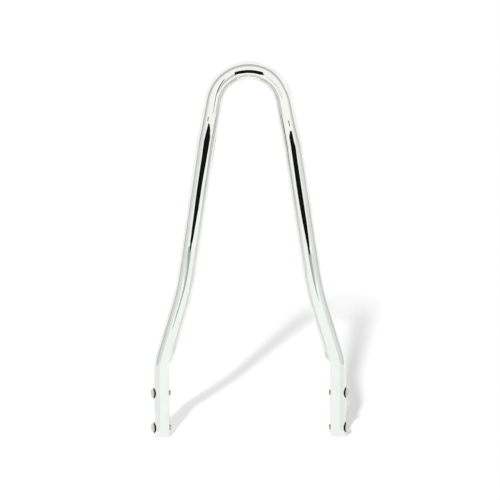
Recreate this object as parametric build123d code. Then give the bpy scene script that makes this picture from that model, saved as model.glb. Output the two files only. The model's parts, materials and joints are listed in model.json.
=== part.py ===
from build123d import *
from math import cos, hypot, radians, sin, sqrt, tan
import os

# A sissy bar: one solid round bar bent into a tall narrow hoop, with a mounting flat
# milled on the inner side of each foot and two button-head screws through each foot.
# Millimetres, +Z up, X across the hoop, origin midway between the feet at their ends.

# Bar and hoop; the arch leaves the legs leaning a little more than they do below the neck.
# The lean is measured from the upright, and the neck's length along the leg from the arch.
BAR_DIAMETER = 22.2
OVERALL_HEIGHT = 460.0
ARCH_RADIUS = 43.0
ARCH_LEAN = 10.5
NECK_LENGTH = 52.0
NECK_RADIUS = 250.0
KNEE_HEIGHT = 181.0
KNEE_HALF_WIDTH = 79.2
KNEE_RADIUS = 310.0
FOOT_BEND_HEIGHT = 92.0
FOOT_BEND_RADIUS = 73.0
END_CHAMFER = 2.0

# Mounting flats; the shoulder's angle is measured from the level
MOUNT_WIDTH = 197.0
FLAT_DEPTH = 3.5
FLAT_LENGTH = 92.0
SHOULDER_ANGLE = 45.0
SHOULDER_ROOT_RADIUS = 2.0
EDGE_BREAK = 0.5

# Screw holes, drilled with room to line the feet up, and the spot faces under the heads
END_TO_HOLE = 11.5
HOLE_SPACING = 43.0
HOLE_CLEARANCE = 2.0
HOLE_CHAMFER = 0.5
SPOT_DEPTH = 0.6
SPOT_CLEARANCE = 1.0

# Button-head screws
THREAD_DIAMETER = 8.0
THREAD_DEPTH = 0.8
SCREW_LENGTH = 20.0
HEAD_DIAMETER = 14.0
HEAD_HEIGHT = 4.4
HEAD_RIM = 0.5
HEAD_TOP_LAND = 0.7
SOCKET_WIDTH = 5.0
SOCKET_DEPTH = 2.6

# Sizes that follow from those above
bar_radius = BAR_DIAMETER / 2
foot_x = MOUNT_WIDTH / 2 + bar_radius - FLAT_DEPTH
lean = radians(ARCH_LEAN)
arch_height = OVERALL_HEIGHT - bar_radius - ARCH_RADIUS
leg_top_x = ARCH_RADIUS * cos(lean)
leg_top_height = arch_height + ARCH_RADIUS * sin(lean)
neck_x = leg_top_x + NECK_LENGTH * sin(lean)
neck_height = leg_top_height - NECK_LENGTH * cos(lean)
hole_diameter = THREAD_DIAMETER + HOLE_CLEARANCE
spot_diameter = HEAD_DIAMETER + SPOT_CLEARANCE
seat_x = foot_x + bar_radius - SPOT_DEPTH
hole_heights = [END_TO_HOLE, END_TO_HOLE + HOLE_SPACING]

# The two feet lie on either side of the middle plane X = 0
LEFT = -1
RIGHT = 1
sides = [LEFT, RIGHT]


# Centreline of one leg: foot, foot bend, knee, neck and the short run up to the arch
def leg_line(side):
    corners = [
        (side * foot_x, 0),
        (side * foot_x, FOOT_BEND_HEIGHT),
        (side * KNEE_HALF_WIDTH, KNEE_HEIGHT),
        (side * neck_x, neck_height),
        (side * leg_top_x, leg_top_height),
    ]
    return FilletPolyline(*corners, radius=[FOOT_BEND_RADIUS, KNEE_RADIUS, NECK_RADIUS])


# The bent bar: the arch joins the two legs tangentially, and the two ends are chamfered
with BuildLine(Plane.XZ) as centreline:
    leg_line(LEFT)
    CenterArc((0, arch_height), ARCH_RADIUS, ARCH_LEAN, 180 - 2 * ARCH_LEAN)
    leg_line(RIGHT)
section = Plane((LEFT * foot_x, 0, 0)) * Circle(bar_radius)
hoop = sweep(section, path=centreline.wires()[0])
hoop = chamfer(hoop.edges().group_by(Axis.Z)[0], END_CHAMFER)


# What the mill takes off one foot: a flat up to the shoulder, which runs out at an angle
def flat_cut(side):
    face_x = side * MOUNT_WIDTH / 2
    inner_x = face_x - side * BAR_DIAMETER
    run_out = BAR_DIAMETER * tan(radians(SHOULDER_ANGLE))
    profile = Polyline(
        (face_x, -bar_radius),
        (face_x, FLAT_LENGTH),
        (inner_x, FLAT_LENGTH + run_out),
        (inner_x, -bar_radius),
        close=True,
    )
    face = Plane.XZ * make_face(profile)
    block = extrude(face, amount=BAR_DIAMETER, both=True)
    root = block.edges().filter_by(Axis.Y).sort_by_distance((face_x, 0, FLAT_LENGTH))[0]
    return fillet(root, SHOULDER_ROOT_RADIUS)


# A cylinder along X from one plane to another
def drill(diameter, start_x, end_x, height):
    along = Plane((start_x, 0, height), z_dir=(end_x - start_x, 0, 0))
    return extrude(along * Circle(diameter / 2), amount=abs(end_x - start_x))


# Mill each foot and break the edges of the cut, then drill and spot-face the two holes
for side in sides:
    cut = flat_cut(side)
    milled = hoop - cut
    hoop = chamfer(new_edges(hoop, cut, combined=milled), EDGE_BREAK)
    outside_x = side * (foot_x + BAR_DIAMETER)
    inside_x = side * (foot_x - BAR_DIAMETER)
    for height in hole_heights:
        hoop -= drill(hole_diameter, outside_x, inside_x, height)
        hoop -= drill(spot_diameter, outside_x, side * seat_x, height)
    flat = hoop.faces().filter_by(Axis.X).sort_by_distance((side * MOUNT_WIDTH / 2, 0, 0))[0]
    hoop = chamfer(flat.inner_wires().edges(), HOLE_CHAMFER)


# One screw about Z: its head stands on the plane z = 0 and its shank hangs below it.
# The dome is part of a sphere centred on the axis, from the rim to the flat round the socket.
def make_screw():
    head_radius = HEAD_DIAMETER / 2
    shank_radius = THREAD_DIAMETER / 2
    top_radius = SOCKET_WIDTH / sqrt(3) + HEAD_TOP_LAND
    dome_height = HEAD_HEIGHT - HEAD_RIM
    below_rim = (head_radius**2 - top_radius**2 - dome_height**2) / (2 * dome_height)
    dome_radius = hypot(head_radius, below_rim)
    with BuildPart() as screw:
        with BuildSketch(Plane.XZ):
            with BuildLine():
                RadiusArc((top_radius, HEAD_HEIGHT), (head_radius, HEAD_RIM), dome_radius)
                Polyline(
                    (head_radius, HEAD_RIM),
                    (head_radius, 0),
                    (shank_radius, 0),
                    (shank_radius, THREAD_DEPTH - SCREW_LENGTH),
                    (shank_radius - THREAD_DEPTH, -SCREW_LENGTH),
                    (0, -SCREW_LENGTH),
                    (0, HEAD_HEIGHT),
                    (top_radius, HEAD_HEIGHT),
                )
            make_face()
        revolve(axis=Axis.Z)
        with BuildSketch(Plane.XY.offset(HEAD_HEIGHT)):
            RegularPolygon(SOCKET_WIDTH / 2, side_count=6, major_radius=False)
        extrude(amount=-SOCKET_DEPTH, mode=Mode.SUBTRACT)
    return screw.part


# A screw in each hole, its head outside and seated on the spot face
screw = make_screw()
screws = []
for side in sides:
    for height in hole_heights:
        screws.append(Location((side * seat_x, 0, height), (0, side * 90, 0)) * screw)

# One file for the bar and one for the four like screws
os.makedirs("parts", exist_ok=True)
export_step(hoop, "parts/hoop.step")
export_step(Compound(children=screws), "parts/screws.step")
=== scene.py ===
# %% [markdown]
# # A sissy bar
# A sissy bar is the tall hoop behind a motorcycle's seat that a passenger leans on or a bag
# is strapped to. This one is a single bent steel bar with a mirror of chrome on it, held to
# the machine by two button-head screws through each foot.
# The solid parts come ready made from the CAD model, in metres, with Z up. Here they get
# their finishes, the screws get their threads, and all is set in a white studio.

# %% Load the CAD model
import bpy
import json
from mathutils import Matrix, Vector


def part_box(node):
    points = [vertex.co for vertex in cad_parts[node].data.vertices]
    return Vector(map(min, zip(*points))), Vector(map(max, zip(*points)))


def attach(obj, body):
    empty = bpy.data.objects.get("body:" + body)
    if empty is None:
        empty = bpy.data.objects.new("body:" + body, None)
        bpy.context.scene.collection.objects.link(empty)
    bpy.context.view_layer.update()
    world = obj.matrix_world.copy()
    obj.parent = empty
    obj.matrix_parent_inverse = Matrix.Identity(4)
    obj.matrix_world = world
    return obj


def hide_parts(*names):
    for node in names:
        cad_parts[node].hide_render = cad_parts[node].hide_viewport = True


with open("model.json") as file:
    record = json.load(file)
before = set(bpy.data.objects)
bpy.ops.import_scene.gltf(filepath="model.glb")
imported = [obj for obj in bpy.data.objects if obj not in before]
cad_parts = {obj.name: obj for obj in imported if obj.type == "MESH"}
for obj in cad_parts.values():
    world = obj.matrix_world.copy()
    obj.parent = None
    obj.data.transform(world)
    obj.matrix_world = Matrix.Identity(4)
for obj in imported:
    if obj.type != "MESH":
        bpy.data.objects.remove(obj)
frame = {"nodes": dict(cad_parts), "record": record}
print("CAD nodes:", sorted(frame["nodes"]))

# %% Clear the start-up scene and keep the CAD model's box
import json
from math import cos, pi, radians, sin, sqrt

import bpy
from mathutils import Quaternion, Vector

for start_up_name in ("Cube", "Light", "Camera"):
    start_up_object = bpy.data.objects.get(start_up_name)
    if start_up_object is not None:
        bpy.data.objects.remove(start_up_object)

MM = 0.001
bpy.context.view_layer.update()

# %% [markdown]
# ## Where the screws go
# A screw's place is a fact of the CAD model, so it is read from there and not typed again:
# the record names a mount for each screw, and the box of the four screws ends at the tops of
# their heads. The heads stand outside the feet, and each seats on a small level spot.

# %% Read the screws' places
HEAD_HEIGHT = 4.4 * MM
head_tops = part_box("screws")[1]
seat_x = head_tops.x - HEAD_HEIGHT
screw_places = {}
for mount in frame["record"]["mounts"]:
    if mount["kind"] == "pin":
        screw_places[mount["name"]] = (mount["pos_m"][0], mount["pos_m"][2])
print("screw seats at x =", round(seat_x / MM, 2), "mm:", sorted(screw_places))

# %% [markdown]
# ## The screw's head
# A button head is a low dome on a thin rim, with a hexagon socket sunk in its top. On the
# real screw it is struck in a die. The same form comes from a flat disc that is pulled up
# ring by ring, each ring a little smaller, so that the rings lie on part of a ball.
# Starting from a disc keeps all the rings in step, and they can be joined to the socket later.
# Everything is deselected before a piece is begun, because operators act on all that is selected.

# %% Raise the dome from a disc
HEAD_RADIUS = 7.0 * MM
HEAD_RIM = 0.5 * MM
SOCKET_WIDTH = 5.0 * MM
HEAD_TOP_LAND = 0.7 * MM
RING_POINTS = 60
DOME_STEPS = 12
top_radius = SOCKET_WIDTH / sqrt(3) + HEAD_TOP_LAND
dome_height = HEAD_HEIGHT - HEAD_RIM
below_rim = (HEAD_RADIUS**2 - top_radius**2 - dome_height**2) / (2 * dome_height)
ball_radius = sqrt(HEAD_RADIUS**2 + below_rim**2)


def raise_ring(rise, growth, height):
    bpy.ops.mesh.extrude_region_move(TRANSFORM_OT_translate={"value": (0, 0, rise)})
    bpy.ops.transform.resize(value=(growth, growth, 1), center_override=(0, 0, height))


bpy.ops.object.select_all(action="DESELECT")
bpy.ops.mesh.primitive_circle_add(vertices=RING_POINTS, radius=HEAD_RADIUS, fill_type="NGON")
head = bpy.context.object
head.name = "screw_head"
bpy.ops.object.mode_set(mode="EDIT")
bpy.ops.mesh.select_all(action="SELECT")
raise_ring(HEAD_RIM, 1, HEAD_RIM)
ring_height = HEAD_RIM
ring_radius = HEAD_RADIUS
for step in range(1, DOME_STEPS + 1):
    next_height = HEAD_RIM + dome_height * sin(step / DOME_STEPS * pi / 2)
    next_radius = sqrt(ball_radius**2 - (next_height - HEAD_RIM + below_rim) ** 2)
    raise_ring(next_height - ring_height, next_radius / ring_radius, next_height)
    ring_height = next_height
    ring_radius = next_radius
bpy.ops.mesh.delete(type="ONLY_FACE")
bpy.ops.object.mode_set(mode="OBJECT")
print("dome of", DOME_STEPS, "rings, open at a radius of", round(ring_radius / MM, 2), "mm")

# %% [markdown]
# ## The hexagon socket
# The socket is pressed in with a six-sided punch, which leaves a small sloping lip at the
# mouth and a shallow cone at the bottom. A hexagon is laid in the open top, each side is cut
# into as many short edges as a sixth of the dome's ring has, and the two loops are bridged.
# The hexagon is then pulled down into the head step by step.

# %% Sink the socket into the dome
SOCKET_SIDES = 6
SOCKET_DEPTH = 2.6 * MM
SOCKET_LIP = 0.15 * MM
SOCKET_CONE = 0.6 * MM
CONE_NARROWING = 0.05
NEAR = 0.01 * MM


def select_points(piece, wanted):
    bpy.ops.object.mode_set(mode="EDIT")
    bpy.ops.mesh.select_mode(type="VERT")
    bpy.ops.mesh.select_all(action="DESELECT")
    bpy.ops.object.mode_set(mode="OBJECT")
    for point in piece.data.vertices:
        point.select = wanted(point.co)
    bpy.ops.object.mode_set(mode="EDIT")


hexagon_radius = SOCKET_WIDTH / sqrt(3)
mouth_growth = (SOCKET_WIDTH + 2 * SOCKET_LIP) / SOCKET_WIDTH
mouth_radius = hexagon_radius * mouth_growth
bpy.ops.object.mode_set(mode="EDIT")
bpy.ops.mesh.select_all(action="DESELECT")
bpy.ops.mesh.primitive_circle_add(
    vertices=SOCKET_SIDES, radius=mouth_radius, location=(0, 0, HEAD_HEIGHT))
bpy.ops.mesh.subdivide(number_cuts=RING_POINTS // SOCKET_SIDES - 1)
select_points(head, lambda place: place.z > HEAD_HEIGHT - NEAR)
bpy.ops.mesh.bridge_edge_loops()
select_points(
    head, lambda place: place.z > HEAD_HEIGHT - NEAR
    and Vector((place.x, place.y)).length < mouth_radius + NEAR)
raise_ring(-SOCKET_LIP, 1 / mouth_growth, HEAD_HEIGHT - SOCKET_LIP)
raise_ring(SOCKET_LIP - SOCKET_DEPTH, 1, HEAD_HEIGHT - SOCKET_DEPTH)
raise_ring(-SOCKET_CONE, CONE_NARROWING, HEAD_HEIGHT - SOCKET_DEPTH - SOCKET_CONE)
bpy.ops.mesh.merge(type="CENTER")
bpy.ops.object.mode_set(mode="OBJECT")
print("head with its socket:", len(head.data.polygons), "faces")

# %% [markdown]
# ## Broken edges
# A struck and plated screw has no knife edges: the rim and the land round the socket are
# slightly rounded, and chrome draws a fine bright line along each. Edges are picked by the
# ring they lie on and given a small bevel.

# %% Round the head's edges
EDGE_ROUND = 0.12 * MM
SLIVER = 0.001 * MM


def select_ring_edges(piece, height, radius):
    bpy.ops.object.mode_set(mode="EDIT")
    bpy.ops.mesh.select_mode(type="EDGE")
    bpy.ops.mesh.select_all(action="DESELECT")
    bpy.ops.object.mode_set(mode="OBJECT")
    points = piece.data.vertices
    for edge in piece.data.edges:
        ends = [points[index].co for index in edge.vertices]
        edge.select = all(
            abs(end.z - height) < NEAR
            and abs(Vector((end.x, end.y)).length - radius) < NEAR
            for end in ends)
    bpy.ops.object.mode_set(mode="EDIT")


for ring in [(0, HEAD_RADIUS), (HEAD_RIM, HEAD_RADIUS), (HEAD_HEIGHT, top_radius)]:
    select_ring_edges(head, *ring)
    bpy.ops.mesh.bevel(offset=EDGE_ROUND, segments=2, affect="EDGES")
bpy.ops.mesh.select_all(action="SELECT")
bpy.ops.mesh.remove_doubles(threshold=SLIVER)
bpy.ops.mesh.normals_make_consistent(inside=False)
bpy.ops.object.mode_set(mode="OBJECT")
print("head after rounding:", len(head.data.polygons), "faces")

# %% [markdown]
# ## The thread
# The screws have a coarse eight-millimetre thread: ridges with 60-degree flanks that climb
# 1.25 mm a turn. It is rolled on the real screw. A thread is a small zigzag carried round an
# axis while it climbs, and that is just what the Screw modifier does, so one pitch of the
# zigzag is drawn by extruding a single point, and the modifier does the rest.

# %% Draw one pitch of the thread and wind it
THREAD_RADIUS = 4.0 * MM
THREAD_PITCH = 1.25 * MM
SCREW_LENGTH = 20.0 * MM
THREAD_STEPS = 40
SPARE_TURNS = 2
thread_depth = 0.613 * THREAD_PITCH
root_radius = THREAD_RADIUS - thread_depth
root_flat = 0.25 * THREAD_PITCH
crest_flat = 0.125 * THREAD_PITCH
flank = 0.3125 * THREAD_PITCH
turns = int(SCREW_LENGTH / THREAD_PITCH) + 2 * SPARE_TURNS

bpy.ops.object.select_all(action="DESELECT")
bpy.ops.mesh.primitive_plane_add(
    size=MM, location=(root_radius, 0, -SCREW_LENGTH - SPARE_TURNS * THREAD_PITCH))
shank = bpy.context.object
shank.name = "screw_shank"
bpy.ops.object.transform_apply(location=True, rotation=True, scale=True)
bpy.ops.object.mode_set(mode="EDIT")
bpy.ops.mesh.select_mode(type="VERT")
bpy.ops.mesh.select_all(action="SELECT")
bpy.ops.mesh.merge(type="CENTER")
zigzag = [(0, root_flat), (thread_depth, flank), (0, crest_flat), (-thread_depth, flank)]
for outwards, upwards in zigzag:
    bpy.ops.mesh.extrude_region_move(
        TRANSFORM_OT_translate={"value": (outwards, 0, upwards)})
bpy.ops.object.mode_set(mode="OBJECT")
winding = shank.modifiers.new("winding", "SCREW")
winding.axis = "Z"
winding.angle = 2 * pi
winding.screw_offset = THREAD_PITCH
winding.iterations = turns
winding.steps = THREAD_STEPS
winding.render_steps = THREAD_STEPS
bpy.ops.object.modifier_apply(modifier=winding.name)
print("thread of", turns, "turns:", len(shank.data.polygons), "faces")

# %% [markdown]
# ## Cutting the thread to length
# The wound ridge is an open skin, longer than the screw. Cutting it level at both ends with
# bisect, with the cut filled, turns it into a closed solid. A real screw also has a chamfered
# point that leads it into its nut: the solid is cut with a blank that has that chamfer, and
# only what both share is kept. Such a cut leaves slivers without any area along its edge, so
# points that all but touch are merged and the slivers dissolved.

# %% Cut the thread level at both ends
SHANK_TOP = 0.3 * MM
SPARE_LENGTH = 0.4 * MM
TURN_SEAM = 0.002 * MM
CUT_TOLERANCE = 0.0001 * MM
bpy.ops.object.mode_set(mode="EDIT")
bpy.ops.mesh.select_all(action="SELECT")
bpy.ops.mesh.remove_doubles(threshold=TURN_SEAM)
for cut_height, kept_side in [(-SCREW_LENGTH - SPARE_LENGTH, -1), (SHANK_TOP, 1)]:
    bpy.ops.mesh.select_all(action="SELECT")
    bpy.ops.mesh.bisect(
        plane_co=(0, 0, cut_height), plane_no=(0, 0, kept_side),
        use_fill=True, clear_outer=True, threshold=CUT_TOLERANCE)
bpy.ops.mesh.select_all(action="SELECT")
bpy.ops.mesh.normals_make_consistent(inside=False)
bpy.ops.object.mode_set(mode="OBJECT")
print("closed thread:", len(shank.data.polygons), "faces")

# %% Turn a blank with a chamfered point
POINT_CHAMFER = 0.8 * MM
BLANK_ROOM = 0.3 * MM
BLANK_TOP = 1.0 * MM
point_radius = THREAD_RADIUS - POINT_CHAMFER
chamfer_rise = POINT_CHAMFER + BLANK_ROOM
bpy.ops.object.select_all(action="DESELECT")
bpy.ops.mesh.primitive_circle_add(
    vertices=RING_POINTS, radius=point_radius, fill_type="NGON", location=(0, 0, -SCREW_LENGTH))
blank = bpy.context.object
bpy.ops.object.transform_apply(location=True, rotation=True, scale=True)
bpy.ops.object.mode_set(mode="EDIT")
bpy.ops.mesh.select_all(action="SELECT")
raise_ring(chamfer_rise, (THREAD_RADIUS + BLANK_ROOM) / point_radius, chamfer_rise - SCREW_LENGTH)
raise_ring(SCREW_LENGTH - chamfer_rise + BLANK_TOP, 1, BLANK_TOP)
bpy.ops.mesh.select_all(action="SELECT")
bpy.ops.mesh.normals_make_consistent(inside=False)
bpy.ops.object.mode_set(mode="OBJECT")
print("blank with a point of", round(point_radius / MM, 1), "mm radius")

# %% Cut the thread with the blank
bpy.ops.object.select_all(action="DESELECT")
shank.select_set(True)
bpy.context.view_layer.objects.active = shank
turning = shank.modifiers.new("turning", "BOOLEAN")
turning.operation = "INTERSECT"
turning.solver = "EXACT"
turning.object = blank
bpy.ops.object.modifier_apply(modifier=turning.name)
bpy.data.objects.remove(blank)
bpy.ops.object.mode_set(mode="EDIT")
bpy.ops.mesh.select_all(action="SELECT")
bpy.ops.mesh.remove_doubles(threshold=SLIVER)
bpy.ops.mesh.dissolve_degenerate(threshold=SLIVER)
bpy.ops.object.mode_set(mode="OBJECT")
shank_heights = [point.co.z / MM for point in shank.data.vertices]
print("shank from", round(min(shank_heights), 2), "to", round(max(shank_heights), 2), "mm,",
      len(shank.data.polygons), "faces")

# %% [markdown]
# ## One screw, four times
# Head and shank are joined into one piece. It is copied to its four places, each copy with a
# mesh of its own. Its turn, its tilt to lie along X and its place are applied to that mesh,
# so the object itself stays at the origin. No two screws stop at the same angle when they
# are tightened, so each is turned a little differently.

# %% Join the head and the shank
SMOOTH_ANGLE = radians(18)
bpy.ops.object.select_all(action="DESELECT")
shank.select_set(True)
head.select_set(True)
bpy.context.view_layer.objects.active = head
bpy.ops.object.join()
screw_pattern = bpy.context.object
bpy.ops.object.shade_smooth_by_angle(angle=SMOOTH_ANGLE)
print("one screw:", len(screw_pattern.data.polygons), "faces")

# %% Set the four copies
stop_angles = [11, 47, 28, 3]
screws = []
for stop_angle, (screw_name, (mount_x, height)) in zip(stop_angles, sorted(screw_places.items())):
    side = 1 if mount_x > 0 else -1
    bpy.ops.object.select_all(action="DESELECT")
    screw_pattern.select_set(True)
    bpy.context.view_layer.objects.active = screw_pattern
    bpy.ops.object.duplicate()
    screw = bpy.context.object
    screw.name = screw_name
    screw.data.name = screw_name
    along_x = Quaternion((0, 1, 0), side * pi / 2)
    screw.rotation_mode = "QUATERNION"
    screw.rotation_quaternion = along_x @ Quaternion((0, 0, 1), radians(stop_angle))
    screw.location = (side * seat_x, 0, height)
    bpy.ops.object.transform_apply(location=True, rotation=True, scale=True)
    screw.rotation_mode = "XYZ"
    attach(screw, "root")
    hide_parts("screws")
    screws.append(screw)
bpy.data.objects.remove(screw_pattern)
for screw in screws:
    reach = [round(corner[0] / MM, 2) for corner in (screw.bound_box[0], screw.bound_box[6])]
    print(screw.name, "x", reach, "mm,", len(screw.data.polygons), "faces")

# %% [markdown]
# ## Finishes from nodes
# A finish is a small tree of nodes, and the same few steps come back in every one: a sum, a
# noise, a range stretched to another range, a noise turned into a colour, a bump. Each gets a
# short function, so that the finishes below read like recipes. What is handed to one of them
# is either a plain number, which is written into the socket, or another node's output, which
# is linked to it.

# %% Helpers for sums, noises and ranges
NOISE_LOW = 0.3
NOISE_HIGH = 0.7


def add_node(tree, kind, **settings):
    node = tree.nodes.new(kind)
    for name, value in settings.items():
        setattr(node, name, value)
    return node


def put(tree, source, target):
    if hasattr(source, "is_output"):
        tree.links.new(source, target)
    else:
        target.default_value = source


def work_out(tree, operation, *values):
    node = add_node(tree, "ShaderNodeMath", operation=operation)
    for socket, value in zip(node.inputs, values):
        put(tree, value, socket)
    return node.outputs["Value"]


def noise(tree, place, scale, detail=2.0):
    node = add_node(tree, "ShaderNodeTexNoise")
    put(tree, place, node.inputs["Vector"])
    put(tree, scale, node.inputs["Scale"])
    put(tree, detail, node.inputs["Detail"])
    return node.outputs["Fac"]


def spread(tree, value, low, high, start=NOISE_LOW, end=NOISE_HIGH):
    node = add_node(tree, "ShaderNodeMapRange")
    put(tree, value, node.inputs["Value"])
    put(tree, start, node.inputs["From Min"])
    put(tree, end, node.inputs["From Max"])
    put(tree, low, node.inputs["To Min"])
    put(tree, high, node.inputs["To Max"])
    return node.outputs["Result"]


print("a noise counts as low at", NOISE_LOW, "and as high at", NOISE_HIGH)

# %% Helpers for colours, bumps and metals
MIX_COLOUR_A = 6
MIX_COLOUR_B = 7
MIX_COLOUR_RESULT = 2


def tint(tree, value, low, high):
    node = add_node(tree, "ShaderNodeValToRGB")
    put(tree, value, node.inputs["Fac"])
    first, last = node.color_ramp.elements
    first.position = NOISE_LOW
    first.color = (*low, 1)
    last.position = NOISE_HIGH
    last.color = (*high, 1)
    return node.outputs["Color"]


def blend_colours(tree, share, first, second):
    node = add_node(tree, "ShaderNodeMix", data_type="RGBA")
    put(tree, share, node.inputs["Factor"])
    put(tree, first, node.inputs[MIX_COLOUR_A])
    put(tree, second, node.inputs[MIX_COLOUR_B])
    return node.outputs[MIX_COLOUR_RESULT]


def raise_bump(tree, height, strength, distance, below=None):
    node = add_node(tree, "ShaderNodeBump")
    put(tree, strength, node.inputs["Strength"])
    put(tree, distance, node.inputs["Distance"])
    put(tree, height, node.inputs["Height"])
    if below is not None:
        put(tree, below, node.inputs["Normal"])
    return node.outputs["Normal"]


def new_metal(name):
    metal = bpy.data.materials.new(name)
    metal.use_nodes = True
    tree = metal.node_tree
    shader = tree.nodes["Principled BSDF"]
    shader.inputs["Metallic"].default_value = 1.0
    place = add_node(tree, "ShaderNodeTexCoord").outputs["Object"]
    parts = add_node(tree, "ShaderNodeSeparateXYZ")
    put(tree, place, parts.inputs["Vector"])
    return metal, tree, shader, place, parts.outputs


print("a Mix node takes its colours at sockets", MIX_COLOUR_A, "and", MIX_COLOUR_B)

# %% [markdown]
# ## Chrome on the bar
# Chrome is a mirror with a cool, faintly green cast, so nearly all that shows of it is the
# room. What makes it real is small: a colour that drifts a little and is warmer towards the
# arch, a polish that is not the same everywhere, and a skin that is not perfectly true
# because it was buffed by hand. Each of these is a noise on Object coordinates, which are the
# same metres as the model.
# The flats and the shoulders above them were milled before plating, so they are satin, the
# shoulders less so, and fine arcs of the cutter show through. They could have a material of
# their own, but the CAD mesh is left alone, so these faces are found by where they lie.

# %% Find the milled faces
FLAT_LENGTH = 92 * MM
FLAT_TOLERANCE = 0.05 * MM
SHOULDER_TOLERANCE = 0.1 * MM
SHOULDER_SATIN = 0.4
flat_x = abs(frame["record"]["mounts"][0]["pos_m"][0])
bar_chrome, tree, shader, place, xyz = new_metal("bar_chrome")

across = work_out(tree, "ABSOLUTE", xyz["X"])
off_flat = work_out(tree, "ABSOLUTE", work_out(tree, "SUBTRACT", across, flat_x))
in_flat = work_out(tree, "LESS_THAN", off_flat, FLAT_TOLERANCE)
below_shoulder = work_out(tree, "LESS_THAN", xyz["Z"], FLAT_LENGTH)
on_flat = work_out(tree, "MULTIPLY", in_flat, below_shoulder)

out_and_up = work_out(tree, "ADD", across, xyz["Z"])
off_slope = work_out(tree, "SUBTRACT", out_and_up, flat_x + FLAT_LENGTH)
in_slope = work_out(tree, "LESS_THAN", work_out(tree, "ABSOLUTE", off_slope), SHOULDER_TOLERANCE)
above_flat = work_out(tree, "GREATER_THAN", xyz["Z"], FLAT_LENGTH)
on_shoulder = work_out(tree, "MULTIPLY", in_slope, above_flat)
milled = work_out(tree, "MAXIMUM", on_flat, work_out(tree, "MULTIPLY", on_shoulder, SHOULDER_SATIN))
print("milled flats at x =", round(flat_x / MM, 1), "mm, up to", round(FLAT_LENGTH / MM, 1), "mm")

# %% Draw the cutter's arcs
CUTTER_DROP = 160 * MM
cutter = add_node(tree, "ShaderNodeMapping")
cutter.inputs["Location"].default_value = (0, 0, CUTTER_DROP)
put(tree, place, cutter.inputs["Vector"])
arcs = add_node(tree, "ShaderNodeTexWave", wave_type="RINGS", rings_direction="X")
put(tree, cutter.outputs["Vector"], arcs.inputs["Vector"])
arcs.inputs["Scale"].default_value = 320
arcs.inputs["Distortion"].default_value = 0.9
marks = work_out(tree, "MULTIPLY", arcs.outputs["Fac"], milled)
print("the cutter's arcs are centred", round(CUTTER_DROP / MM), "mm below the feet's ends")

# %% Put the bar's chrome together
COOL_BELOW = 0.25
WARM_ABOVE = 0.4
MILLED_SHADE = (0.33, 0.345, 0.335, 1)
MILLED_ROUGHNESS = 0.14
drift = noise(tree, place, 45)
cool = tint(tree, drift, (0.835, 0.875, 0.84), (0.885, 0.92, 0.89))
warm = tint(tree, drift, (0.865, 0.865, 0.835), (0.915, 0.915, 0.885))
upwards = spread(tree, xyz["Z"], 0.0, 1.0, COOL_BELOW, WARM_ABOVE)
plating = blend_colours(tree, upwards, cool, warm)
arc_shade = spread(tree, arcs.outputs["Fac"], 0.2, 0.4, 0.0, 1.0)
satin = work_out(tree, "MULTIPLY", milled, arc_shade)
put(tree, blend_colours(tree, satin, plating, MILLED_SHADE), shader.inputs["Base Color"])

polish = spread(tree, noise(tree, place, 700, detail=3), 0.02, 0.05)
roughness = work_out(tree, "MULTIPLY_ADD", milled, MILLED_ROUGHNESS, polish)
put(tree, roughness, shader.inputs["Roughness"])

buffing = raise_bump(tree, noise(tree, place, 30, detail=1), 0.04, 1 * MM)
put(tree, raise_bump(tree, marks, 0.15, 0.02 * MM, buffing), shader.inputs["Normal"])

hoop = frame["nodes"]["hoop"]
hoop.data.materials[0] = bar_chrome
print("chrome on the hoop:", len(tree.nodes), "nodes")

# %% [markdown]
# ## Chrome on the screws
# The screws are plated too. Under the head and at the bottom of the socket the colour is darkened to
# near black as painted shade, and the surface is rougher there. The grooves of the thread get painted
# shade too, broken up unevenly. The rim of the head carries painted shade as well, unevenly so, with a
# painted highlight across its middle.
# One finish serves all four screws. A place on a screw is given by its distance along X and
# its distance from the axis of the nearest screw, whichever foot the screw is in.

# %% Measure along and round each screw
MID_HOLE_DEPTH = 9 * MM
screw_chrome, tree, shader, place, xyz = new_metal("screw_chrome")
axis_heights = sorted({height for _, height in screw_places.values()})
mid_hole_x = seat_x - MID_HOLE_DEPTH

along = work_out(tree, "ABSOLUTE", xyz["X"])
from_lower = work_out(tree, "ABSOLUTE", work_out(tree, "SUBTRACT", xyz["Z"], axis_heights[0]))
from_upper = work_out(tree, "ABSOLUTE", work_out(tree, "SUBTRACT", xyz["Z"], axis_heights[1]))
aside = work_out(tree, "MINIMUM", from_lower, from_upper)
y_squared = work_out(tree, "MULTIPLY", xyz["Y"], xyz["Y"])
from_axis = work_out(tree, "SQRT", work_out(tree, "MULTIPLY_ADD", aside, aside, y_squared))
print("screw axes at heights of", [round(height / MM, 1) for height in axis_heights], "mm")

# %% Paint shade under the head and into the socket
SEAT_TOLERANCE = 0.06 * MM
SOCKET_TOLERANCE = 0.05 * MM
head_top_x = seat_x + HEAD_HEIGHT
# Painted shade: under the head, and more deeply into the socket, the colour is darkened.
below_head = work_out(tree, "LESS_THAN", along, seat_x + SEAT_TOLERANCE)
outer_half = work_out(tree, "GREATER_THAN", along, mid_hole_x)
shade_under_head = work_out(tree, "MULTIPLY", below_head, outer_half)
socket_wide = work_out(tree, "LESS_THAN", from_axis, hexagon_radius + SOCKET_TOLERANCE)
socket_deep = spread(tree, along, 0.5, 0.0, head_top_x - SOCKET_DEPTH, head_top_x)
past_seat = work_out(tree, "GREATER_THAN", along, seat_x)
shade_in_socket = work_out(tree, "MULTIPLY", work_out(tree, "MULTIPLY", socket_wide, socket_deep), past_seat)
rough_shaded_recesses = work_out(tree, "MAXIMUM", shade_under_head, shade_in_socket)
print("dull from x =", round(mid_hole_x / MM, 1), "to", round(seat_x / MM, 1), "mm and in the socket")
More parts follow.
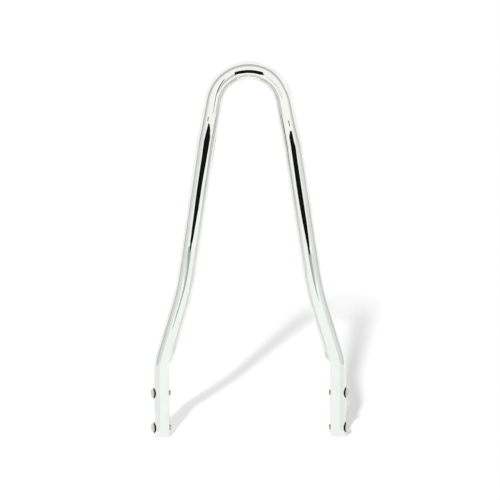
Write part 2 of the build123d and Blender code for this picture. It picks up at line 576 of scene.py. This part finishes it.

# %% Paint shade on the rim and in the grooves
RIM_DARK = 1.1 * MM
RIM_CLEAR = 2.3 * MM
RIM_UNEVEN = 1.2 * MM
GLEAM_HALF = 2.0 * MM
GLEAM_END = 4.6 * MM
END_TOLERANCE = 0.05 * MM
mottle = noise(tree, place, 420)
uneven = work_out(tree, "MULTIPLY_ADD", mottle, RIM_UNEVEN, along)
# Painted shade on the rim just above the seat, made uneven by the mottle; across the middle of the head
# it is lifted, as a painted highlight.
rim = spread(tree, uneven, 0.96, 0.0, seat_x + RIM_DARK, seat_x + RIM_CLEAR)
gleam = spread(tree, aside, 0.4, 1.0, GLEAM_HALF, GLEAM_END)
blotches = spread(tree, mottle, 0.0, 0.26, 0.4, 0.7)
rim_shade_and_blotches = work_out(tree, "MAXIMUM", work_out(tree, "MULTIPLY", rim, gleam), blotches)
head_shade_and_blotches = work_out(tree, "MULTIPLY", rim_shade_and_blotches, past_seat)

# Painted shade in the thread's grooves, broken up by the mottle.
groove = spread(tree, from_axis, 0.75, 0.1, root_radius, THREAD_RADIUS)
broken = spread(tree, mottle, 0.3, 1.0, 0.4, 0.6)
off_end = work_out(tree, "GREATER_THAN", along, seat_x - SCREW_LENGTH + END_TOLERANCE)
inner_half = work_out(tree, "LESS_THAN", along, mid_hole_x)
on_thread = work_out(tree, "MULTIPLY", off_end, inner_half)
groove_shade = work_out(tree, "MULTIPLY", work_out(tree, "MULTIPLY", groove, broken), on_thread)
print("dark rim", round(RIM_DARK / MM, 1), "mm high, grooves", round(thread_depth / MM, 2), "mm deep")

# %% Put the screws' chrome together
DARK_SHADE = (0.02, 0.02, 0.021, 1)
DULL_ROUGHNESS = 0.5
drift = noise(tree, place, 160)
bright = tint(tree, drift, (0.70, 0.71, 0.69), (0.80, 0.81, 0.79))
# Here the painted shade of the recesses, the rim and the grooves is blended into the colour.
darkening = work_out(tree, "MAXIMUM", rough_shaded_recesses, work_out(tree, "MAXIMUM", head_shade_and_blotches, groove_shade))
put(tree, blend_colours(tree, darkening, bright, DARK_SHADE), shader.inputs["Base Color"])

polish = spread(tree, noise(tree, place, 1500, detail=3), 0.03, 0.08)
roughness = work_out(tree, "MULTIPLY_ADD", rough_shaded_recesses, DULL_ROUGHNESS, polish)
put(tree, roughness, shader.inputs["Roughness"])
put(tree, raise_bump(tree, noise(tree, place, 400), 0.05, 0.1 * MM), shader.inputs["Normal"])

for screw in screws:
    screw.data.materials.clear()
    screw.data.materials.append(screw_chrome)
print("chrome on", len(screws), "screws:", len(tree.nodes), "nodes")

# %% [markdown]
# ## The white room
# The object stands in a white room. What the camera and the chrome see of the room is plain
# white, while its light on the object stays at an ordinary level. More light would make the
# background white too, but it would wash out the object, so Light Path tells the two apart:
# it knows whether a ray comes from the camera, from a mirror or from a matt surface.

# %% Make the white room
ROOM_LIGHT = 0.55
WHITE = (1, 1, 1, 1)


def seen_directly(tree):
    path = add_node(tree, "ShaderNodeLightPath").outputs
    mirrored = work_out(tree, "MAXIMUM", path["Is Glossy Ray"], path["Is Transmission Ray"])
    return work_out(tree, "MAXIMUM", path["Is Camera Ray"], mirrored)


scene = bpy.context.scene
scene.view_settings.view_transform = "Standard"
room = bpy.data.worlds.new("white_room")
scene.world = room
room.use_nodes = True
tree = room.node_tree
tree.nodes.clear()
light = add_node(tree, "ShaderNodeBackground")
light.inputs["Color"].default_value = WHITE
light.inputs["Strength"].default_value = ROOM_LIGHT
backdrop = add_node(tree, "ShaderNodeBackground")
backdrop.inputs["Color"].default_value = WHITE
choice = add_node(tree, "ShaderNodeMixShader")
put(tree, seen_directly(tree), choice.inputs["Fac"])
put(tree, light.outputs["Background"], choice.inputs[1])
put(tree, backdrop.outputs["Background"], choice.inputs[2])
put(tree, choice.outputs["Shader"], add_node(tree, "ShaderNodeOutputWorld").inputs["Surface"])
print("white room that lights with a strength of", ROOM_LIGHT)

# %% [markdown]
# ## The floor
# The floor is pale and matt, and keeps the object's shadow. Seen by the camera or in the chrome it
# glows faintly, just enough for its lit part to be white. The left leg's shadow is paler than the right
# one's, so for the camera painted light lifts the floor a little more on the left, up to a line between
# the two shadows that slants as they do: it lightens the left shadow near the front.

# %% Lay the floor
FLOOR_SIZE = 80
bpy.ops.object.select_all(action="DESELECT")
bpy.ops.mesh.primitive_plane_add(size=FLOOR_SIZE)
floor = bpy.context.object
floor.name = "floor"
pale_floor = bpy.data.materials.new("pale_floor")
pale_floor.use_nodes = True
floor.data.materials.append(pale_floor)
tree = pale_floor.node_tree
tree.nodes.clear()
print("floor", FLOOR_SIZE, "m wide")

# %% Let it glow, and paint light into the left shadow at the front
FLOOR_GLOW = 0.23
LEFT_GLOW = 0.11
SHADOW_SLANT = 0.143
spot = add_node(tree, "ShaderNodeSeparateXYZ")
put(tree, add_node(tree, "ShaderNodeTexCoord").outputs["Object"], spot.inputs["Vector"])
beside = work_out(tree, "MULTIPLY_ADD", spot.outputs["Y"], -SHADOW_SLANT, spot.outputs["X"])
# Painted light: this lifts the left shadow near the front, for the camera only.
on_left = spread(tree, beside, LEFT_GLOW, 0.0, -0.03, 0.03)
in_front = spread(tree, spot.outputs["Y"], 1.0, 0.0, 0.3, 0.9)
painted_left_lift = work_out(tree, "MULTIPLY", on_left, in_front)
camera_ray = add_node(tree, "ShaderNodeLightPath").outputs["Is Camera Ray"]
glow = add_node(tree, "ShaderNodeEmission")
put(tree, work_out(tree, "MULTIPLY_ADD", painted_left_lift, camera_ray, FLOOR_GLOW), glow.inputs["Strength"])
print("floor glows with a strength of", FLOOR_GLOW, "to", round(FLOOR_GLOW + LEFT_GLOW, 2))

# %% Put the floor's finish together
FLOOR_PALE = (0.8, 0.8, 0.8, 1)
matt = add_node(tree, "ShaderNodeBsdfDiffuse")
matt.inputs["Color"].default_value = FLOOR_PALE
lifted = add_node(tree, "ShaderNodeAddShader")
put(tree, matt.outputs["BSDF"], lifted.inputs[0])
put(tree, glow.outputs["Emission"], lifted.inputs[1])
choice = add_node(tree, "ShaderNodeMixShader")
put(tree, seen_directly(tree), choice.inputs["Fac"])
put(tree, matt.outputs["BSDF"], choice.inputs[1])
put(tree, lifted.outputs["Shader"], choice.inputs[2])
put(tree, choice.outputs["Shader"], add_node(tree, "ShaderNodeOutputMaterial").inputs["Surface"])
print("floor's finish:", len(tree.nodes), "nodes")

# %% [markdown]
# ## The lamps
# One low lamp at the front left throws the shadow far back and to the right. The shadow is
# drawn out softly towards its far end, as from a lamp that is taller than it is wide. A sun
# lamp is round, so three of them stand one above another and act as that one tall lamp.

# %% Stack three lamps
LAMP_ENERGY = 1.12
LAMP_ANGLE = radians(2.4)
THROW_X = 0.146
THROW_Y = 1.02
for name, fall in [("low_lamp", -0.42), ("middle_lamp", -0.46), ("high_lamp", -0.50)]:
    bpy.ops.object.select_all(action="DESELECT")
    bpy.ops.object.light_add(type="SUN")
    lamp = bpy.context.object
    lamp.name = name
    lamp.data.energy = LAMP_ENERGY
    lamp.data.angle = LAMP_ANGLE
    lamp.visible_glossy = False
    throw = Vector((THROW_X, THROW_Y, fall))
    lamp.rotation_mode = "QUATERNION"
    lamp.rotation_quaternion = throw.to_track_quat("-Z", "Y")
    print(name, "falls", -fall, "m over", THROW_Y, "m")

# %% [markdown]
# ## Cards for the chrome to mirror
# Chrome in an all-white room would vanish, so a photographer sets cards round it and lets it
# mirror them. A card is a flat sheet cut to an outline, so its corners are listed and the
# sheet is filled from them at once. It has one even brightness of its own.
# The cards here are seen only in reflections. They take no part in the lighting and stand in
# nobody's view.

# %% Make a card


def plain_glow(name, brightness):
    finish = bpy.data.materials.new(name)
    finish.use_nodes = True
    tree = finish.node_tree
    tree.nodes.clear()
    glow = add_node(tree, "ShaderNodeEmission")
    glow.inputs["Color"].default_value = WHITE
    glow.inputs["Strength"].default_value = brightness
    put(tree, glow.outputs["Emission"], add_node(tree, "ShaderNodeOutputMaterial").inputs["Surface"])
    return finish


def hang_card(name, corners, finish, faces=None):
    mesh = bpy.data.meshes.new(name)
    mesh.from_pydata(corners, [], faces or [list(range(len(corners)))])
    mesh.materials.append(finish)
    card = bpy.data.objects.new(name, mesh)
    scene.collection.objects.link(card)
    card.visible_camera = False
    card.visible_diffuse = False
    card.visible_shadow = False
    card.visible_transmission = False


def hang_pair(name, outline, distance, finish):
    for way, y in [("front", -distance), ("back", distance)]:
        hang_card(f"{name}_{way}", [(x * MM, y, z * MM) for x, z in outline], finish)


black = plain_glow("black_card", 0.008)
print("card finish:", black.name)

# %% [markdown]
# ## Black strips
# The deep black streaks along the legs and over the arch mirror black cards close to the bar.
# A round bar squeezes what it mirrors to a narrow streak, so the cards are much wider than
# the streaks they draw. Each hangs once in front and once behind, so that the back of the
# hoop is as lively as the front. The outlines are millimetres across and up.

# %% Cut the black strips
STRIP_DISTANCE = 40 * MM
black_cards = {
    "left_strip": [
        (-56, 385), (-44, 381), (-33, 372), (-30, 366), (-22, 362), (-21, 352), (-41, 310), (-47, 278),
        (-60, 242), (-71, 227), (-76, 225), (-80, 240), (-79, 302), (-72, 345), (-71, 364)],
    "right_strip": [
        (65, 376), (51, 374), (38, 364), (41, 335), (44.5, 294), (52, 265), (64, 240), (72, 223),
        (79, 221), (86, 238), (88.5, 261), (84, 298), (79, 335), (80, 356), (70, 363)],
    "arch_strip": [(-21, 455), (21, 455), (18, 440), (9, 429), (-5, 431), (-15, 436)],
    "shoulder_strip": [
        (-36, 442), (-32, 442), (-33, 425), (-28, 408), (-29, 396), (-34, 391), (-33, 396),
        (-32, 408), (-37, 425)],
    "left_dash": [(-69, 394), (-62, 394), (-60, 388), (-67, 388)],
    "right_dash": [(49, 387), (55, 387), (57, 380), (51, 380)],
}
for name, outline in black_cards.items():
    hang_pair(name, outline, STRIP_DISTANCE, black)
print("black cards:", len(black_cards), "in front and as many behind")

# %% [markdown]
# ## Grey pieces
# The black streaks do not end sharply. Towards the knee they fade through a grey tail with a
# pale wedge beside it, and grey bands lead round the arch. These are grey cards, hung a
# millimetre or two further off, so that a black one hides the grey where they overlap.

# %% Cut the grey pieces
GREY_DISTANCE = 41 * MM
WEDGE_DISTANCE = 42 * MM
grey_cards = [
    ("left_band", GREY_DISTANCE, 0.6, [
        (-35, 416), (-32, 428), (-26, 436), (-17, 443), (-9, 428), (-14, 425), (-17, 420), (-20, 414)]),
    ("right_band", GREY_DISTANCE, 0.85, [
        (38, 410), (36, 420), (32, 428), (24, 438), (14, 427), (18, 420), (20, 410)]),
    ("left_tail", GREY_DISTANCE, 0.46, [
        (-66, 234), (-65, 222), (-64, 216), (-66, 203), (-70, 191), (-74.5, 179), (-83, 167),
        (-88, 155), (-94, 137), (-96, 131), (-100, 131), (-99.5, 137), (-97.5, 155), (-93, 167),
        (-87.5, 179), (-84, 191), (-80.5, 203), (-86, 216), (-90, 222), (-92, 234)]),
    ("right_tail", GREY_DISTANCE, 0.46, [
        (66, 229), (66, 216), (74, 197), (83.5, 179), (91, 166), (93, 166), (92.5, 179), (90, 197),
        (88, 216), (88, 229)]),
    ("left_wedge", WEDGE_DISTANCE, 0.84, [
        (-93, 229), (-80, 200), (-86, 184), (-104, 212), (-106, 229)]),
    ("right_wedge", WEDGE_DISTANCE, 0.84, [
        (88, 226), (90, 197), (92, 182), (112, 205), (114, 226)]),
]
for name, distance, brightness, outline in grey_cards:
    hang_pair(name, outline, distance, plain_glow(name, brightness))
print("grey cards:", len(grey_cards), "in front and as many behind")

# %% [markdown]
# ## Seams along the outer edges
# Soft grey bands run up the outer edges of the legs and over the arch. They mirror a tunnel
# of three long cards over the hoop, side by side from dark to pale: upright beside the legs
# and bent in a half circle over the arch. Each card's two edges are given by their depth,
# once for the uprights and once for the top, and the bend leads from one to the other.
# The right leg's bands lie a little differently from the left one's, so the right half of
# the tunnel is pushed back beside the leg and pulled forwards where it starts to bend.

# %% Draw the tunnel's line
TUNNEL_RADIUS = 0.3
TUNNEL_STEPS = 32
TUNNEL_HEIGHTS = (0.074, 0.36)
ARCH_CENTRE = 0.406
tunnel_line = [(0, height) for height in TUNNEL_HEIGHTS]
for step in range(TUNNEL_STEPS + 1):
    angle = step * pi / TUNNEL_STEPS
    tunnel_line.append((angle, ARCH_CENTRE + TUNNEL_RADIUS * sin(angle)))
tunnel_line += [(pi, height) for height in reversed(TUNNEL_HEIGHTS)]
print("tunnel line of", len(tunnel_line), "points")

# %% Bend the three seams along it
BLEND_ANGLE = 0.4
RIGHT_PUSH = 0.07
RIGHT_PULL = 0.13
PULL_MIDDLE = 0.38
PULL_REACH = 0.6


def bend_card(name, brightness, side_edges, top_edges):
    corners = []
    for angle, height in tunnel_line:
        climb = min(angle, pi - angle)
        upright = height < ARCH_CENTRE
        share = 1 if upright else max(0, BLEND_ANGLE - climb)
        shift = 0
        if angle < pi / 2:
            pull = max(0, 1 - abs(climb - PULL_MIDDLE) / PULL_REACH)
            shift = RIGHT_PUSH if upright else -RIGHT_PULL * pull
        for side, top in zip(side_edges, top_edges):
            corners.append((TUNNEL_RADIUS * cos(angle), top + (side - top) * share + shift, height))
    faces = [(k, k + 1, k + 3, k + 2) for k in range(0, len(corners) - 2, 2)]
    hang_card(name, corners, plain_glow(name, brightness), faces)
    print(name, "bent from", len(faces), "faces")


bend_card("dark_seam", 0.51, (0.02, -0.03), (-0.02, -0.13))
bend_card("middle_seam", 0.73, (-0.03, -0.12), (-0.13, -0.17))
bend_card("pale_seam", 0.82, (-0.12, -0.28), (-0.17, -0.22))

# %% [markdown]
# ## Cards beside the feet and inside the hoop
# A pale card beside each foot keeps its outer edge from melting into the background. Cards
# in the hoop's middle plane do the same for the inner edges: two between the feet and the
# lower legs, and one under the arch. A white one behind them keeps the black cards at the
# back out of the inner edges that face the camera.

# %% Hang the side and middle cards
FOOT_CARD_X = 0.15
foot_grey = plain_glow("foot_grey_card", 0.92)


def upright_card(name, x, depths, heights, finish):
    front, back = depths
    bottom, top = heights
    corners = [(x, front, bottom), (x, back, bottom), (x, back, top), (x, front, top)]
    hang_card(name, corners, finish)


upright_card("left_foot_card", -FOOT_CARD_X, (-0.06, 0.02), (0, 0.086), foot_grey)
upright_card("right_foot_card", FOOT_CARD_X, (-0.06, 0.02), (0, 0.086), foot_grey)
middle_cards = [
    ("low_middle_card", 0.92, (-0.045, 0.008), (0, 0.061)),
    ("high_middle_card", 0.8, (-0.045, 0.008), (0.061, 0.2)),
    ("under_arch_card", 0.65, (-0.042, -0.018), (0.385, 0.425)),
    ("white_card", 0.97, (0.004, 0.045), (0.18, 0.43)),
]
for name, brightness, depths, heights in middle_cards:
    upright_card(name, 0, depths, heights, plain_glow(name, brightness))
print("cards beside the feet: 2, in the middle:", len(middle_cards))

# %% [markdown]
# ## The camera
# The photograph was taken from straight in front, a little above the middle of the hoop and
# from far off with a long lens: the legs show hardly any perspective. The object stands a
# fifth of a degree off the upright in the frame, so the camera is rolled by as much.

# %% Set the camera
CAMERA_DISTANCE = 3.5
CAMERA_ELEVATION = radians(8)
CAMERA_ROLL = radians(-0.2)
CAMERA_AIM = Vector((0.0008, 0, 0.2305))
CAMERA_LENS = 207.6
back = Vector((0, -cos(CAMERA_ELEVATION), sin(CAMERA_ELEVATION)))
bpy.ops.object.camera_add(location=CAMERA_AIM + back * CAMERA_DISTANCE)
camera = bpy.context.object
camera.name = "camera"
camera.data.lens = CAMERA_LENS
camera.data.sensor_width = 36
camera.data.clip_end = 200
camera.rotation_mode = "QUATERNION"
camera.rotation_quaternion = (-back).to_track_quat("-Z", "Y") @ Quaternion((0, 0, 1), CAMERA_ROLL)
scene.camera = camera
print("camera at", [round(value, 3) for value in camera.location])
